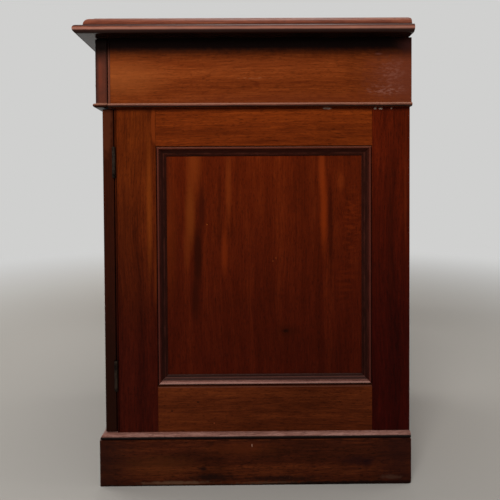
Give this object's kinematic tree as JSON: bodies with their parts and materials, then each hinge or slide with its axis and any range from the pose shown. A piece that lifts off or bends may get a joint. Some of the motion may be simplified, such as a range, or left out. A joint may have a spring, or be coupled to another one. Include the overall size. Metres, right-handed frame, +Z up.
{
  "type": "pedestal desk",
  "caption": "Mahogany pedestal desk: moulded top with a leather inset, frieze drawers, a drawer pedestal, a cupboard pedestal with a hinged door, and panelled ends.",
  "frame": {"origin": "on the floor under the middle of the desk's bounding box", "axes": "+X to the sitter's right along the desk's width, the drawers and door face -Y, +Z up"},
  "size_m": [1.219, 0.5382, 0.762],
  "materials": {
    "mahogany_top": "French-polished mahogany",
    "mahogany_case": "French-polished mahogany",
    "mahogany_panel": "French-polished figured mahogany",
    "mahogany_front": "French-polished mahogany",
    "mahogany_moulding": "French-polished mahogany",
    "mahogany_plinth": "worn polished mahogany",
    "knob_wood": "turned and polished mahogany",
    "carcass_wood": "stained softwood, matt",
    "drawer_lining": "plain ash or oak, waxed",
    "writing_leather": "aged hide, satin",
    "aged_brass": "darkened brass",
    "lock_steel": "dull steel"
  },
  "bodies": {
    "root": {"top_board": "mahogany_top", "writing_leather": "writing_leather", "frieze_end_right": "mahogany_case", "frieze_end_left": "mahogany_case", "frieze_end_beads": "mahogany_moulding", "frieze_back_board": "carcass_wood", "frieze_rails": "mahogany_case", "frieze_partitions": "carcass_wood", "frieze_dustboard": "carcass_wood", "left_end_frame": "mahogany_case", "left_end_panel": "mahogany_panel", "left_end_moulding": "mahogany_moulding", "left_inner_side": "mahogany_case", "left_back_board": "carcass_wood", "left_carcass_boards": "carcass_wood", "left_plinth": "mahogany_plinth", "left_plinth_cap": "mahogany_moulding", "right_end_frame": "mahogany_case", "right_end_panel": "mahogany_panel", "right_end_moulding": "mahogany_moulding", "right_inner_side": "mahogany_case", "right_back_board": "carcass_wood", "right_carcass_boards": "carcass_wood", "right_plinth": "mahogany_plinth", "right_plinth_cap": "mahogany_moulding", "left_drawer_rails": "carcass_wood", "right_shelf": "mahogany_case", "right_shelf_battens": "carcass_wood", "hinge_carcass_leaves": "aged_brass"},
    "left_top_drawer": {"left_top_drawer_front": "mahogany_front", "left_top_drawer_box": "drawer_lining", "left_top_drawer_knobs": "knob_wood", "left_top_drawer_lock": "aged_brass"},
    "left_top_drawer_bolt": {"left_top_drawer_lock_bolt": "lock_steel"},
    "centre_top_drawer": {"centre_top_drawer_front": "mahogany_front", "centre_top_drawer_box": "drawer_lining", "centre_top_drawer_knobs": "knob_wood", "centre_top_drawer_lock": "aged_brass"},
    "centre_top_drawer_bolt": {"centre_top_drawer_lock_bolt": "lock_steel"},
    "right_top_drawer": {"right_top_drawer_front": "mahogany_front", "right_top_drawer_box": "drawer_lining", "right_top_drawer_knobs": "knob_wood", "right_top_drawer_lock": "aged_brass"},
    "right_top_drawer_bolt": {"right_top_drawer_lock_bolt": "lock_steel"},
    "upper_drawer": {"upper_drawer_front": "mahogany_front", "upper_drawer_box": "drawer_lining", "upper_drawer_knobs": "knob_wood"},
    "middle_drawer": {"middle_drawer_front": "mahogany_front", "middle_drawer_box": "drawer_lining", "middle_drawer_knobs": "knob_wood"},
    "lower_drawer": {"lower_drawer_front": "mahogany_front", "lower_drawer_box": "drawer_lining", "lower_drawer_knobs": "knob_wood"},
    "cupboard_door": {"door_frame": "mahogany_case", "door_panel": "mahogany_panel", "door_moulding": "mahogany_moulding", "door_knob": "knob_wood", "door_lock": "aged_brass", "hinge_door_leaves": "aged_brass"},
    "cupboard_door_bolt": {"door_lock_bolt": "lock_steel"}
  },
  "joints": [
    {"name": "left_top_drawer_slide", "type": "slide", "parent": "root", "child": "left_top_drawer", "axis": [0, -1, 0], "range_m": [0, 0.34]},
    {"name": "centre_top_drawer_slide", "type": "slide", "parent": "root", "child": "centre_top_drawer", "axis": [0, -1, 0], "range_m": [0, 0.34]},
    {"name": "right_top_drawer_slide", "type": "slide", "parent": "root", "child": "right_top_drawer", "axis": [0, -1, 0], "range_m": [0, 0.34]},
    {"name": "upper_drawer_slide", "type": "slide", "parent": "root", "child": "upper_drawer", "axis": [0, -1, 0], "range_m": [0, 0.34]},
    {"name": "middle_drawer_slide", "type": "slide", "parent": "root", "child": "middle_drawer", "axis": [0, -1, 0], "range_m": [0, 0.34]},
    {"name": "lower_drawer_slide", "type": "slide", "parent": "root", "child": "lower_drawer", "axis": [0, -1, 0], "range_m": [0, 0.34]},
    {"name": "left_top_drawer_bolt_slide", "type": "slide", "parent": "left_top_drawer", "child": "left_top_drawer_bolt", "axis": [0, 0, 1], "range_m": [0, 0.007]},
    {"name": "centre_top_drawer_bolt_slide", "type": "slide", "parent": "centre_top_drawer", "child": "centre_top_drawer_bolt", "axis": [0, 0, 1], "range_m": [0, 0.007]},
    {"name": "right_top_drawer_bolt_slide", "type": "slide", "parent": "right_top_drawer", "child": "right_top_drawer_bolt", "axis": [0, 0, 1], "range_m": [0, 0.007]},
    {"name": "cupboard_door_hinge", "type": "hinge", "parent": "root", "child": "cupboard_door", "pos_m": [0.576, -0.2159, 0], "axis": [0, 0, 1], "range_deg": [0, 170]},
    {"name": "cupboard_door_bolt_slide", "type": "slide", "parent": "cupboard_door", "child": "cupboard_door_bolt", "axis": [-1, 0, 0], "range_m": [0, 0.007]}
  ]
}
